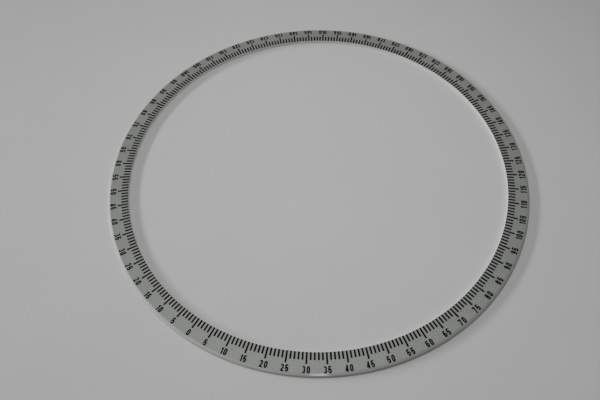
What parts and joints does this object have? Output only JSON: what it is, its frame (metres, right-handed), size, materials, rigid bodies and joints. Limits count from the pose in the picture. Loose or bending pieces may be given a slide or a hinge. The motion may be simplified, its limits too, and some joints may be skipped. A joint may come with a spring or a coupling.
{
  "type": "graduated degree ring",
  "caption": "Thin flat round ring with a degree scale on its face: short and long lines at the bore edge, numerals outside them, counting both ways from zero to the line opposite.",
  "frame": {"origin": "centre of the ring at its back face, the face that it lies on", "axes": "+Z along the ring's axis, out of the graduated face; the 0 line is on -Y and the 180 line on +Y; +X is the 90 of the right-hand scale, which runs counter-clockwise seen from +Z"},
  "size_m": [0.2, 0.2, 0.0015],
  "materials": {
    "ring_metal": "fine turned satin",
    "face_coat": "satin greenish grey face",
    "print_black": "semi-matt black print"
  },
  "bodies": {
    "root": {"ring_body": "ring_metal", "scale_face": "face_coat"}
  },
  "joints": []
}
